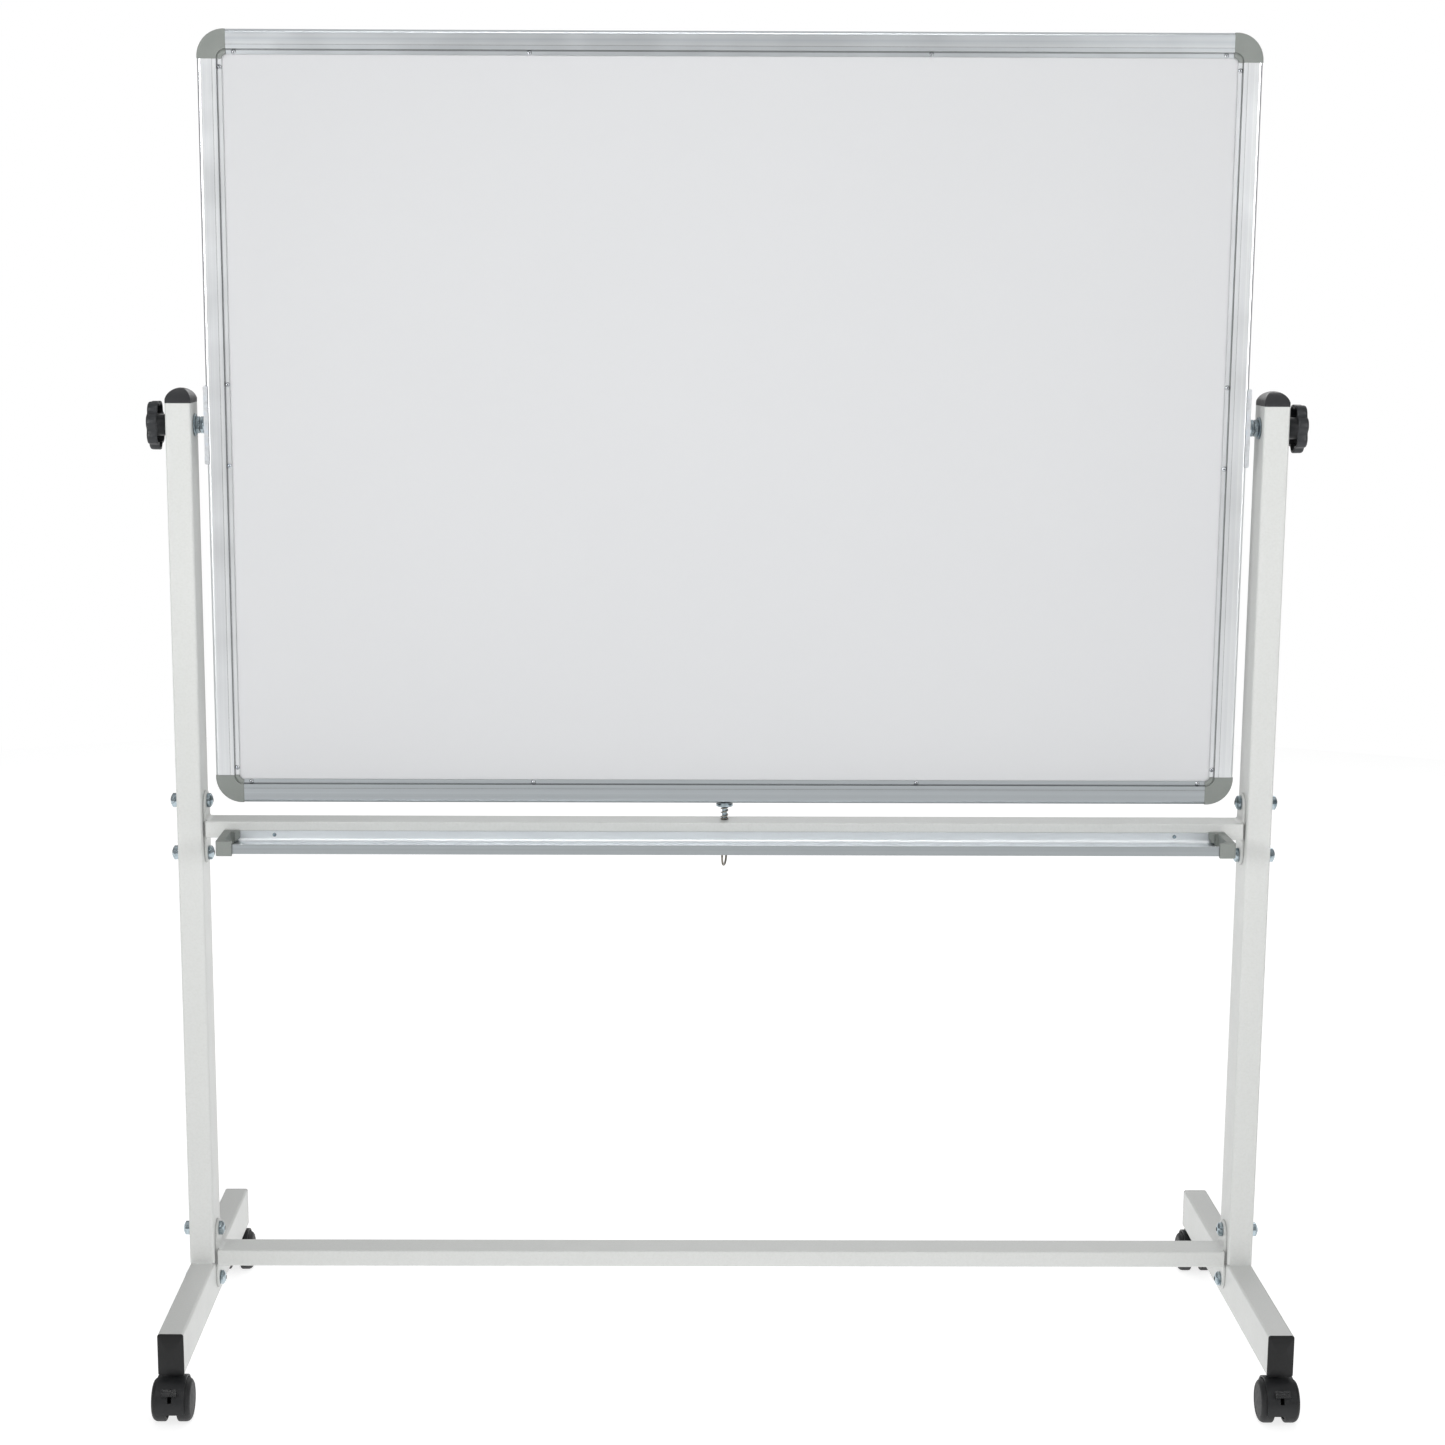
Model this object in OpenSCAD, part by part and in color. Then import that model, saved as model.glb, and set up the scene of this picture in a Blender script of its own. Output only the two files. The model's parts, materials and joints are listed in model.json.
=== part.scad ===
// Rolling whiteboard: a framed double-sided board that turns in a wheeled stand.
// Millimetres. X runs across the board, Y from front to back, Z up from the floor.
// The origin is on the floor under the middle of the stand.

/* [Board] */
// Outer width of the framed board
board_w = 1210; // [900:10:1500]
// Outer height of the framed board
board_h = 892; // [700:2:1000]
// Height of the board's turning axis above the floor
pivot_z = 1126; // [1080:1:1180]
// Width of the frame rail, from its outer edge to the lip
rail_w = 28; // [26:0.5:34]
// Thickness of the frame rail, front to back
rail_t = 20; // [20:0.5:24]
// Length of each arm of a corner cap
corner_l = 33; // [32:1:40]
// Outside radius of a corner cap
corner_r = 31; // [26:1:32]

/* [Stand] */
// Width of an upright and of a foot, across the board
tube_w = 30; // [30:1:36]
// Depth of an upright and height of a foot
tube_d = 50; // [46:1:56]
// Wall of the uprights and feet
tube_wall = 2; // [1.5:0.25:3]
// Gap between the board's edge and the upright
side_gap = 15.5; // [15.5:0.5:22]
// Height of the uprights' open top above the floor
upright_top = 1152; // [1140:1:1240]
// Height of the underside of the feet above the floor
foot_z = 57; // [57:0.5:60]
// Length of a foot without its end caps
foot_l = 484; // [440:2:640]

/* [Crossbars] */
// Depth of a crossbar, front to back
bar_d = 40; // [36:1:44]
// Height of a crossbar
bar_h = 20; // [18:1:24]
// Height of the middle of the upper crossbar
upper_bar_z = 648.5; // [640:0.5:648.5]
// Height of the middle of the lower crossbar
lower_bar_z = 112; // [110:1:118]
// Height of the welded end plates
plate_h = 87; // [84:1:94]
// Depth of the welded end plates
plate_d = 32; // [30:1:36]

/* [Pen tray] */
// Length of the aluminium tray between the outer faces of its end caps
tray_l = 1191; // [801:2:1199]
// Depth of the tray, front to back
tray_d = 64; // [52:1:70]
// Height of the tray
tray_h = 11.2; // [10.4:0.2:14]

/* [Casters] */
// Wheel diameter
wheel_dia = 50; // [48:1:50]
// Distance from the swivel axis to the wheel axis
trail = 20; // [18:0.5:22]
// Distance from the swivel axis to the end of the foot tube
stem_inset = 27; // [26:1:60]

/* [Hidden] */
$fn = 48;

// Colours
powder_white = "#DADDD8";
anodised = "#C3C8CE";
zinc = "#A9B2B8";
cap_grey = "#A3A8A0";
black_plastic = "#2D2F32";
board_white = "#E4E6E8";
core_brown = "#B79B72";
brass = "#B8954A";

eps = 0.01;

// Board
half_w = board_w / 2;
half_h = board_h / 2;
half_t = rail_t / 2;
board_top = pivot_z + half_h;
board_bottom = pivot_z - half_h;
edge_r = 4;                 // rounding of the rail's outer corners
face_w = 22;                // flat face of the rail, up to the groove
groove_w = 1.8;
groove_t = 1.1;             // depth of the groove in the lip
cap_groove_t = 2;
line_u = [16.9, 17.5];      // fine line along the rail's face
line_t = 0.35;
lip_t = half_t - 1.2;       // the lip stands a little lower than the face
slot_u = 10.5;              // depth at which the panel channel starts
slot_t = 7;                 // half thickness of the panel channel
chamber_u = [1.6, 9];       // hollow chamber along the rail's outer edge
chamber_v = 8.4;
panel_inset = 11;           // panel edge, from the rail's outer edge
panel_t = 6.8;              // half thickness of core and sheets
sheet_t = 0.5;
corner_cut = 8;             // chamfer at the panel's corners
spigot_l = 22;
spigot_gap = 0.2;

// Screws through the front lip
lip_u = 25.5;
screw_x = [228, half_w - 42];
screw_z = [47, half_h - 42];
screw_r = 1.2;
screw_head_r = 2.8;
screw_head_h = 1.3;
screw_l = 10;

// Pivot hardware, measured outwards from the board's edge
plate_t = 2.8;
plate_wrap = 2.4;           // how far the plate's flanges reach round the rail's edge
plate_flange = 0.8;         // how far they stand out in front of the rail
plate_gap = 0.05;
pivot_plate_h = 91;
plate_corner_r = 1.8;
pivot_r = 5;
pivot_hole_r = 5.08;
pivot_head_r = 6.2;
pivot_head_t = 4;
flange_nut_t = 5.2;
jam_nut_t = 4.6;
washer_t = 1.8;
washer_r = 13;
washer_gap = 0.3;
pivot_screw_z = 33;

// Uprights and feet
upright_in = half_w + side_gap;
upright_out = upright_in + tube_w;
upright_x = upright_in + tube_w / 2;
foot_top = foot_z + tube_d;
tube_r = 3;
foot_cap_rise = 2.8;
foot_cap_sink = 0.4;        // the vault starts this far below the rim, so that its edge is thick
cap_rim = 1;
cap_rise = 16;

// Knobs
knob_gap = 0.6;
knob_cup = 9.3;             // open edge of the knob, from the upright
knob_t = 12.5;
knob_lobes = 7;
knob_lobe_r = 8.5;
knob_r = 29;
knob_wall = 3;
knob_hub_r = 12;
insert_af = 16;
insert_l = 13;

// Crossbars
bar_r = 2;
bar_wall = 1.5;
end_plate_t = 3;
bar_half = upright_in - end_plate_t;
bolt_spread = 32;
bolt_r = 4;
bolt_hole_r = 4.3;
bolt_head_r = 8.5;
bolt_head_h = 11;
cap_nut_h = 7;
head_crown = 3.2;           // rise of a bolt head's crown
socket_af = 5;
socket_deep = 3.2;

// Pen tray
tray_half = tray_l / 2;
tray_back = -bar_d / 2;
tray_front = tray_back - tray_d;
tray_z = upper_bar_z - bar_h / 2 - 5.2;
tray_back_h = tray_h + 3.2;
tray_t = 1.4;
tray_r = 5;
end_l = 19;                 // length of a tray end cap along the tray's two walls
end_block = 13;             // length of its closed end
end_skin = 2.3;             // how far it stands out below and in front of the tray
end_top = tray_h + 4;
end_r = 4;
end_grip = 3;               // thickness of the arm that clasps the front lip
gusset = 9;
tray_in_cap = 9;
tray_screw_x = tray_half - 60;
tray_screw_z = tray_z + 9.8;
tray_screw_head = [2.4, 1.1];

// Spring lock in the middle of the upper crossbar
pin_r = 3;
pin_hole_r = 3.06;
strike_r = 3.4;
pin_tip = board_bottom + 8;
collar_top = board_bottom - 0.5;
collar_h = 4.1;
collar_r = 10;
collar_step = 1.7;
bar_top = upper_bar_z + bar_h / 2;
spring_top = collar_top - collar_h;
spring_r = 4;
spring_wire = 0.7;
spring_turns = 4.5;
eye_z = bar_top - bar_h - 12.5;
eye_r = 1.8;
pin_end = eye_z - 5;
ring_major = 11.5;
ring_wire = 1.2;
ring_turn = 14;             // the ring hangs a little out of line with the board

// Casters, in their own frame: the swivel axis at the origin, the wheels towards -Y
wheel_r = wheel_dia / 2;
web_half = 6;
wheel_in = 6.65;
wheel_out = 22.9;
tread_out = 15.9;
shoulder_r = 18.5;
axle_r = 3;
axle_hole_r = 3.06;
axle_half = 20.5;
hood_half = 16.6;
hood_in = wheel_r + 1.2;
hood_out = wheel_r + 3.5;
hood_cut_z = 16.8;
hood_back_z = 24;
stem_r = 3.5;
stem_hole_r = 3.55;
stem_bottom = 29;
boss_r = 9;
boss_top = foot_z - 2.1;
boss_z = boss_top - 5.4;
flange_r = 10;
flange_t = 1.6;
thread_r = 5;
thread_l = 20;
brake_hub_r = 5.5;
brake_half = 1.9;
brake_tab_half = 8.6;
brake_angles = [28, 42];
brake_slot = [13, 46];
brake_tab_r = [wheel_r + 4, wheel_r + 8.8];
caster_y = foot_l / 2 - stem_inset;

// ---------- shared shapes ----------

// Rectangle with exact round corners, centred
module round_rect(w, h, r) {
    square([w - 2 * r, h], center = true);
    square([w, h - 2 * r], center = true);
    for (x = [-1, 1], y = [-1, 1])
        translate([x * (w / 2 - r), y * (h / 2 - r)]) circle(r = r);
}

// Outline of a rectangular tube
module tube_section(w, h, wall, r) {
    difference() {
        round_rect(w, h, r);
        round_rect(w - 2 * wall, h - 2 * wall, r - wall / 2);
    }
}

// Turns a shape drawn upwards so that it points along +X
module along_x() { rotate([0, 90, 0]) children(); }

// Turns a shape drawn upwards so that it points along -Y
module along_front() { rotate([90, 0, 0]) children(); }

// A mirrored pair, left and right
module both_sides() {
    children();
    mirror([1, 0, 0]) children();
}

// Regular hexagonal prism of width af across its flats
module hex_prism(af, h) { cylinder(r = af / sqrt(3), h = h, $fn = 6); }

// Cap of a sphere on z = 0, of radius r and height h
module dome(r, h) {
    sphere_r = (r * r + h * h) / (2 * h);
    intersection() {
        translate([0, 0, h - sphere_r]) sphere(r = sphere_r);
        cylinder(r = r, h = h + eps);
    }
}

// Sector of a disc between two angles, up to radius r
function sector_points(r, a0, a1, n) =
    concat([[0, 0]], [for (i = [0 : n]) let (a = a0 + (a1 - a0) * i / n) [r * cos(a), r * sin(a)]]);

// ---------- board ----------

// Solid outline of the rail down to a depth, with its rounded outer corners grown by a gap
module rail_blank(depth, gap = 0) {
    translate([edge_r, -half_t - gap]) square([depth - edge_r, rail_t + 2 * gap]);
    translate([0, edge_r - half_t]) square([depth, rail_t - 2 * edge_r]);
    for (s = [-1, 1]) translate([edge_r, s * (half_t - edge_r)]) circle(r = edge_r + gap);
}

// Section of the frame rail: u inwards from the outer edge, v front to back
module rail_section() {
    difference() {
        union() {
            rail_blank(face_w);
            translate([face_w - 1, -lip_t]) square([rail_w - face_w + 1, 2 * lip_t]);
        }
        translate([chamber_u[0], -chamber_v + 2]) square([chamber_u[1] - chamber_u[0], 2 * chamber_v - 4]);
        translate([chamber_u[0] + 2, -chamber_v]) square([chamber_u[1] - chamber_u[0] - 2, 2 * chamber_v]);
        translate([slot_u, -slot_t]) square([rail_w, 2 * slot_t]);
        for (s = [-1, 1]) {
            translate([face_w + groove_w / 2, s * lip_t]) square([groove_w, 2 * groove_t], center = true);
            translate([(line_u[0] + line_u[1]) / 2, s * half_t])
                square([line_u[1] - line_u[0], 2 * line_t], center = true);
        }
    }
}

// One rail of length l along +Z, its outer edge at u = 0
module rail(l) { linear_extrude(l) rail_section(); }

// A rail up the board's side, its middle at z = 0
module side_rail() {
    translate([0, 0, corner_l - half_h]) rail(board_h - 2 * corner_l);
}

module strike_hole() { cylinder(r = strike_r, h = 8, center = true); }

module lip_screws_long(r, h) {
    for (x = screw_x, s = [-1, 1])
        translate([s * x, -lip_t, half_h - lip_u]) along_front() cylinder(r = r, h = h, center = true);
}

module lip_screws_side(r, h) {
    for (z = screw_z, s = [-1, 1])
        translate([lip_u - half_w, -lip_t, s * z]) along_front() cylinder(r = r, h = h, center = true);
}

// Every lip screw's place, about the middle of the board
module at_lip_screws() {
    for (x = screw_x, s = [-1, 1], t = [-1, 1])
        translate([s * x, -lip_t, t * (half_h - lip_u)]) along_front() children();
    for (z = screw_z, s = [-1, 1], t = [-1, 1])
        translate([s * (half_w - lip_u), -lip_t, t * z]) along_front() children();
}

module board_place() { translate([0, 0, pivot_z]) children(); }

// Rail along the top, its outer edge up
module top_rail_shape() {
    difference() {
        translate([0, 0, half_h]) rotate([0, 90, 0])
            translate([0, 0, corner_l - half_w]) rail(board_w - 2 * corner_l);
        translate([0, 0, half_h]) strike_hole();
        lip_screws_long(screw_r + 0.1, 8);
    }
}

// Rail up the left side, its outer edge to the left
module side_rail_shape() {
    difference() {
        translate([-half_w, 0, 0]) side_rail();
        translate([-half_w, 0, 0]) along_x() cylinder(r = pivot_hole_r, h = 2 * chamber_u[0] + 1, center = true);
        for (s = [-1, 1]) translate([-half_w, 0, s * pivot_screw_z])
            along_x() cylinder(r = 2, h = 2 * chamber_u[0] + 1, center = true);
        lip_screws_side(screw_r + 0.1, 8);
    }
}

module rail_top() { color(anodised) board_place() top_rail_shape(); }
module rail_bottom() { color(anodised) board_place() mirror([0, 0, 1]) top_rail_shape(); }
module rail_left() { color(anodised) board_place() side_rail_shape(); }
module rail_right() { color(anodised) board_place() mirror([1, 0, 0]) side_rail_shape(); }

// Outline of a corner cap: corner at the origin, arms along +X and +Y
module corner_outline() {
    difference() {
        union() {
            translate([corner_r, 0]) square([corner_l - corner_r, corner_l]);
            translate([0, corner_r]) square([corner_l, corner_l - corner_r]);
            intersection() {
                translate([corner_r, corner_r]) circle(r = corner_r);
                square(corner_r + eps);
            }
        }
        translate([corner_l, corner_l]) circle(r = corner_l - rail_w);
    }
}

// Corner cap at the board's top left, drawn about the middle of the board
module corner_cap_shape() {
    proud = 0.3;
    translate([-half_w, 0, half_h]) mirror([0, 0, 1]) rotate([90, 0, 0]) {
        difference() {
            linear_extrude(rail_t + 2 * proud, center = true) corner_outline();
            translate([slot_u, slot_u, -slot_t]) cube([corner_l, corner_l, 2 * slot_t]);
            for (s = [-1, 1]) translate([corner_l, corner_l, s * (half_t + proud)])
                rotate_extrude() translate([corner_l - face_w - groove_w, -cap_groove_t])
                    square([groove_w, 2 * cap_groove_t]);
        }
        spigot_w = chamber_u[1] - chamber_u[0] - 2 - 2 * spigot_gap;
        for (flip = [0, 1]) mirror([flip, -flip, 0])
            translate([corner_l - eps, chamber_u[0] + 2 + spigot_gap, spigot_gap - chamber_v])
                cube([spigot_l, spigot_w, 2 * (chamber_v - spigot_gap)]);
    }
}

module corner_cap_top_left() { color(cap_grey) board_place() corner_cap_shape(); }
module corner_cap_top_right() { color(cap_grey) board_place() mirror([1, 0, 0]) corner_cap_shape(); }
module corner_cap_bottom_left() { color(cap_grey) board_place() mirror([0, 0, 1]) corner_cap_shape(); }
module corner_cap_bottom_right() {
    color(cap_grey) board_place() mirror([1, 0, 0]) mirror([0, 0, 1]) corner_cap_shape();
}

// Outline of the panel inside the frame, with cut corners
module panel_outline() {
    w = half_w - panel_inset;
    h = half_h - panel_inset;
    c = corner_cut;
    polygon([[-w, c - h], [c - w, -h], [w - c, -h], [w, c - h],
             [w, h - c], [w - c, h], [c - w, h], [-w, h - c]]);
}

// A layer of the panel from y0 to y1
module panel_layer(y0, y1) {
    translate([0, y1, 0]) along_front() linear_extrude(y1 - y0) panel_outline();
}

module writing_sheet_front() {
    color(board_white) board_place() difference() {
        panel_layer(-panel_t, sheet_t - panel_t);
        at_lip_screws() cylinder(r = screw_r, h = 2 * screw_l, center = true);
    }
}

module writing_sheet_back() { color(board_white) board_place() panel_layer(panel_t - sheet_t, panel_t); }

module board_core() {
    color(core_brown) board_place() difference() {
        panel_layer(sheet_t - panel_t, panel_t - sheet_t);
        at_lip_screws() cylinder(r = screw_r, h = 2 * screw_l, center = true);
    }
}

module lip_screw() {
    difference() {
        union() {
            dome(screw_head_r, screw_head_h);
            translate([0, 0, -screw_l]) cylinder(r = screw_r, h = screw_l + eps);
        }
        for (a = [0, 90]) rotate([0, 0, a])
            translate([0, 0, screw_head_h]) cube([2.6, 0.6, 1.2], center = true);
    }
}

module frame_screws() { color(zinc) board_place() at_lip_screws() lip_screw(); }

// ---------- pivots ----------

// Places a shape drawn outwards along +Z at the board's right edge, on the turning axis
module at_right_pivot() { translate([half_w, 0, pivot_z]) along_x() children(); }

// Shallow channel that clasps the rail's edge; +Z is outwards
module pivot_plate() {
    difference() {
        translate([0, 0, (plate_t - plate_wrap) / 2]) rotate([90, 0, 0])
            linear_extrude(rail_t + 2 * plate_flange, center = true)
                round_rect(pivot_plate_h, plate_t + plate_wrap, plate_corner_r);
        rotate([0, 90, 0]) linear_extrude(pivot_plate_h + 1, center = true) rail_blank(rail_w, plate_gap);
        translate([0, 0, -eps]) cylinder(r = pivot_hole_r, h = plate_t + 1);
        for (s = [-1, 1]) translate([s * pivot_screw_z, 0, 0]) {
            translate([0, 0, -eps]) cylinder(r = 2.55, h = plate_t + 1);
            translate([0, 0, plate_t - 2.4]) cylinder(r1 = 2.55, r2 = 4.95, h = 2.4 + eps);
        }
    }
}

module pivot_plate_screw() {
    rotate_extrude() polygon([[0, -6], [1.95, -6], [1.95, 0], [2.5, 0.1], [2.5, plate_t - 2.4],
                              [4.9, plate_t], [0, plate_t]]);
}

module pivot_bolt() {
    head_z = -chamber_u[0];
    translate([0, 0, head_z - pivot_head_t]) cylinder(r = pivot_head_r, h = pivot_head_t);
    translate([0, 0, head_z - eps]) cylinder(r = pivot_r, h = side_gap + tube_w + knob_gap + insert_l - head_z);
}

// Flange nut that clamps the plate, and jam nut that holds the washer by the upright
module pivot_nut_pair() {
    difference() {
        union() {
            translate([0, 0, plate_t]) hex_prism(17, flange_nut_t);
            translate([0, 0, plate_t]) cylinder(r = 10.6, h = 1.5);
        }
        cylinder(r = pivot_r, h = 30);
    }
    difference() {
        translate([0, 0, side_gap - washer_gap - washer_t - jam_nut_t]) hex_prism(17, jam_nut_t);
        cylinder(r = pivot_r, h = 30);
    }
}

module pivot_washer() {
    translate([0, 0, side_gap - washer_gap - washer_t]) difference() {
        cylinder(r = washer_r, h = washer_t);
        translate([0, 0, -eps]) cylinder(r = pivot_hole_r, h = washer_t + 1);
    }
}

module pivot_plates() { color(zinc) both_sides() at_right_pivot() pivot_plate(); }
module pivot_plate_screws() {
    color(zinc) both_sides() at_right_pivot()
        for (s = [-1, 1]) translate([s * pivot_screw_z, 0, 0]) pivot_plate_screw();
}
module pivot_bolts() { color(zinc) both_sides() at_right_pivot() pivot_bolt(); }
module pivot_nuts() { color(zinc) both_sides() at_right_pivot() pivot_nut_pair(); }
module pivot_washers() { color(zinc) both_sides() at_right_pivot() pivot_washer(); }

// ---------- knobs ----------

// Lobed outline, shrunk by d all round
module lobed(d) {
    circle(r = knob_r - knob_lobe_r / 2 - d);
    for (i = [0 : knob_lobes - 1])
        rotate(i * 360 / knob_lobes) translate([knob_r - knob_lobe_r, 0]) circle(r = knob_lobe_r - d);
}

// Knob drawn outwards along +Z from the upright's outer face
module knob_shape() {
    difference() {
        union() {
            difference() {
                union() {
                    translate([0, 0, knob_cup]) linear_extrude(knob_t - 1.6) lobed(0);
                    translate([0, 0, knob_cup + knob_t - 1.6 - eps]) linear_extrude(1.6) lobed(1.6);
                }
                translate([0, 0, knob_cup - eps]) linear_extrude(knob_t - knob_wall) lobed(knob_wall);
            }
            translate([0, 0, knob_gap]) cylinder(r = knob_hub_r, h = knob_cup + knob_t - knob_gap - 1);
        }
        translate([0, 0, knob_gap - eps]) hex_prism(insert_af, insert_l + eps);
        translate([0, 0, knob_gap]) cylinder(r = pivot_r + 0.3, h = insert_l + 1);
    }
}

module knob_insert_shape() {
    translate([0, 0, knob_gap]) difference() {
        hex_prism(insert_af, insert_l);
        translate([0, 0, -eps]) cylinder(r = pivot_hole_r, h = insert_l + 1);
    }
}

module at_right_knob() { translate([upright_out, 0, pivot_z]) along_x() children(); }

module knob_right() { color(black_plastic) at_right_knob() knob_shape(); }
module knob_left() { color(black_plastic) mirror([1, 0, 0]) at_right_knob() knob_shape(); }
module knob_insert_right() { color(brass) at_right_knob() knob_insert_shape(); }
module knob_insert_left() { color(brass) mirror([1, 0, 0]) at_right_knob() knob_insert_shape(); }

// ---------- stand ----------

// Hole along X through a side frame at height z
module side_hole(r, z) {
    translate([upright_x, 0, z]) along_x() cylinder(r = r, h = tube_w + 20, center = true);
}

module upright_shape() {
    difference() {
        translate([upright_x, 0, foot_top]) linear_extrude(upright_top - foot_top)
            tube_section(tube_w, tube_d, tube_wall, tube_r);
        side_hole(pivot_hole_r, pivot_z);
        for (s = [-1, 1]) side_hole(bolt_hole_r, upper_bar_z + s * bolt_spread);
        side_hole(bolt_hole_r, lower_bar_z + bolt_spread);
    }
}

module upright_right() { color(powder_white) upright_shape(); }
module upright_left() { color(powder_white) mirror([1, 0, 0]) upright_shape(); }

module foot_shape() {
    difference() {
        translate([upright_x, foot_l / 2, foot_z + tube_d / 2]) along_front() linear_extrude(foot_l)
            tube_section(tube_w, tube_d, tube_wall, tube_r);
        side_hole(bolt_hole_r, lower_bar_z - bolt_spread);
        for (s = [-1, 1]) translate([upright_x, s * caster_y, foot_z - 1]) cylinder(r = thread_r, h = 4);
    }
    // weld nuts over the stem holes, inside the tube
    for (s = [-1, 1]) translate([upright_x, s * caster_y, foot_z + tube_wall - eps]) difference() {
        hex_prism(17, 8);
        translate([0, 0, -1]) cylinder(r = thread_r, h = 10);
    }
}

module foot_right() { color(powder_white) foot_shape(); }
module foot_left() { color(powder_white) mirror([1, 0, 0]) foot_shape(); }

// Vaulted cap: the meeting of two arches over the tube's rectangle
module arch(w, rise, l) {
    arch_r = (w * w / 4 + rise * rise) / (2 * rise);
    along_front() linear_extrude(l, center = true) intersection() {
        translate([0, rise - arch_r]) circle(r = arch_r);
        translate([-w / 2, 0]) square([w, rise + eps]);
    }
}

// Low arch over a chord w, its curve made of flat strips
module low_arch(w, rise, l) {
    strips = 9;
    arch_r = (w * w / 4 + rise * rise) / (2 * rise);
    half_angle = asin(w / 2 / arch_r);
    along_front() linear_extrude(l, center = true) polygon([for (i = [0 : strips])
        let (a = half_angle * (2 * i / strips - 1)) [arch_r * sin(a), arch_r * cos(a) - arch_r + rise]]);
}

module upright_cap() {
    inner_w = tube_w - 2 * tube_wall - 0.4;
    inner_d = tube_d - 2 * tube_wall - 0.4;
    linear_extrude(cap_rim + eps) round_rect(tube_w, tube_d, tube_r);
    translate([0, 0, cap_rim]) intersection() {
        arch(tube_w, cap_rise, tube_d + 1);
        rotate([0, 0, 90]) arch(tube_d, cap_rise, tube_w + 1);
        linear_extrude(cap_rise) round_rect(tube_w, tube_d, tube_r);
    }
    translate([0, 0, -14]) linear_extrude(14 + eps) tube_section(inner_w, inner_d, 2, 2);
}

module upright_caps() {
    color(black_plastic) both_sides() translate([upright_x, 0, upright_top]) upright_cap();
}

// Vaulted plug for the end of a foot, drawn upwards from the tube's end
module foot_cap() {
    inner_w = tube_w - 2 * tube_wall - 0.4;
    inner_d = tube_d - 2 * tube_wall - 0.4;
    rise = foot_cap_rise + foot_cap_sink;
    linear_extrude(cap_rim) round_rect(tube_w, tube_d, tube_r);
    translate([0, 0, cap_rim - foot_cap_sink]) intersection() {
        low_arch(tube_w + 4, rise, tube_d + 2);
        rotate([0, 0, 90]) low_arch(tube_d + 5, rise, tube_w + 2);
        linear_extrude(rise + 1) round_rect(tube_w, tube_d, tube_r);
    }
    translate([0, 0, -12]) linear_extrude(12 + eps) tube_section(inner_w, inner_d, 2, 2);
}

module foot_end_caps() {
    color(black_plastic) both_sides() translate([upright_x, 0, foot_z + tube_d / 2]) for (a = [0, 180])
        rotate([0, 0, a]) translate([0, -foot_l / 2, 0]) along_front() foot_cap();
}

module crossbar(z) {
    translate([-bar_half, 0, z]) along_x() linear_extrude(2 * bar_half)
        tube_section(bar_h, bar_d, bar_wall, bar_r);
}

module crossbar_upper() {
    color(powder_white) difference() {
        crossbar(upper_bar_z);
        translate([0, 0, upper_bar_z]) cylinder(r = pin_hole_r, h = bar_h + 4, center = true);
        both_sides() translate([tray_screw_x, tray_back, tray_screw_z])
            along_front() cylinder(r = 1.5, h = 2 * bar_wall + 1, center = true);
    }
}

module crossbar_lower() { color(powder_white) crossbar(lower_bar_z); }

module crossbar_end_plates() {
    color(powder_white) both_sides() for (z = [upper_bar_z, lower_bar_z]) difference() {
        translate([bar_half, 0, z]) along_x() linear_extrude(end_plate_t)
            round_rect(plate_h, plate_d, plate_d / 2 - eps);
        for (s = [-1, 1]) side_hole_plate(z + s * bolt_spread);
    }
}

module side_hole_plate(z) {
    translate([bar_half, 0, z]) along_x() cylinder(r = bolt_hole_r, h = 10, center = true);
}

// Round head with a low crown and a hexagon socket, drawn upwards
module socket_dome(h) {
    difference() {
        union() {
            cylinder(r = bolt_head_r, h = h - head_crown);
            translate([0, 0, h - head_crown - eps]) dome(bolt_head_r, head_crown);
        }
        translate([0, 0, h - socket_deep]) hex_prism(socket_af, socket_deep + 1);
    }
}

module at_crossbar_bolts() {
    both_sides() for (z = [upper_bar_z, lower_bar_z], s = [-1, 1])
        translate([0, 0, z + s * bolt_spread]) children();
}

module crossbar_bolts() {
    shank = tube_w + end_plate_t + 4;
    color(zinc) at_crossbar_bolts() translate([upright_out, 0, 0]) along_x() {
        socket_dome(bolt_head_h);
        translate([0, 0, -shank]) cylinder(r = bolt_r, h = shank + eps);
    }
}

module crossbar_nuts() {
    color(zinc) at_crossbar_bolts() translate([bar_half, 0, 0]) mirror([1, 0, 0]) along_x() difference() {
        socket_dome(cap_nut_h);
        translate([0, 0, -eps]) cylinder(r = bolt_r, h = 4 + eps);
    }
}

// ---------- pen tray ----------

function arc(cx, cy, r, a0, a1, n) =
    [for (i = [0 : n]) let (a = a0 + (a1 - a0) * i / n) [cx + r * cos(a), cy + r * sin(a)]];

// Section of the tray: x is depth (0 at the back wall), y is height above the underside
module tray_section() {
    r = tray_r;
    t = tray_t;
    d = tray_d;
    h = tray_h;
    polygon(concat(
        [[0, tray_back_h], [0, 0]],
        [[-d, 0], [-d, h]],
        [[t + 0.6 - d, h], [t + 0.6 - d, h - 1.2], [t - d, h - 1.2]],
        arc(r + t - d, r + t, r, 180, 270, 8),
        arc(-r - t, r + t, r, 270, 360, 8),
        [[-t, tray_back_h]]
    ));
}

// Extrudes a tray section along X, from x0 to x1
module tray_run(x0, x1) {
    translate([x0, tray_back, tray_z]) rotate([90, 0, 90]) linear_extrude(x1 - x0) children();
}

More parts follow.
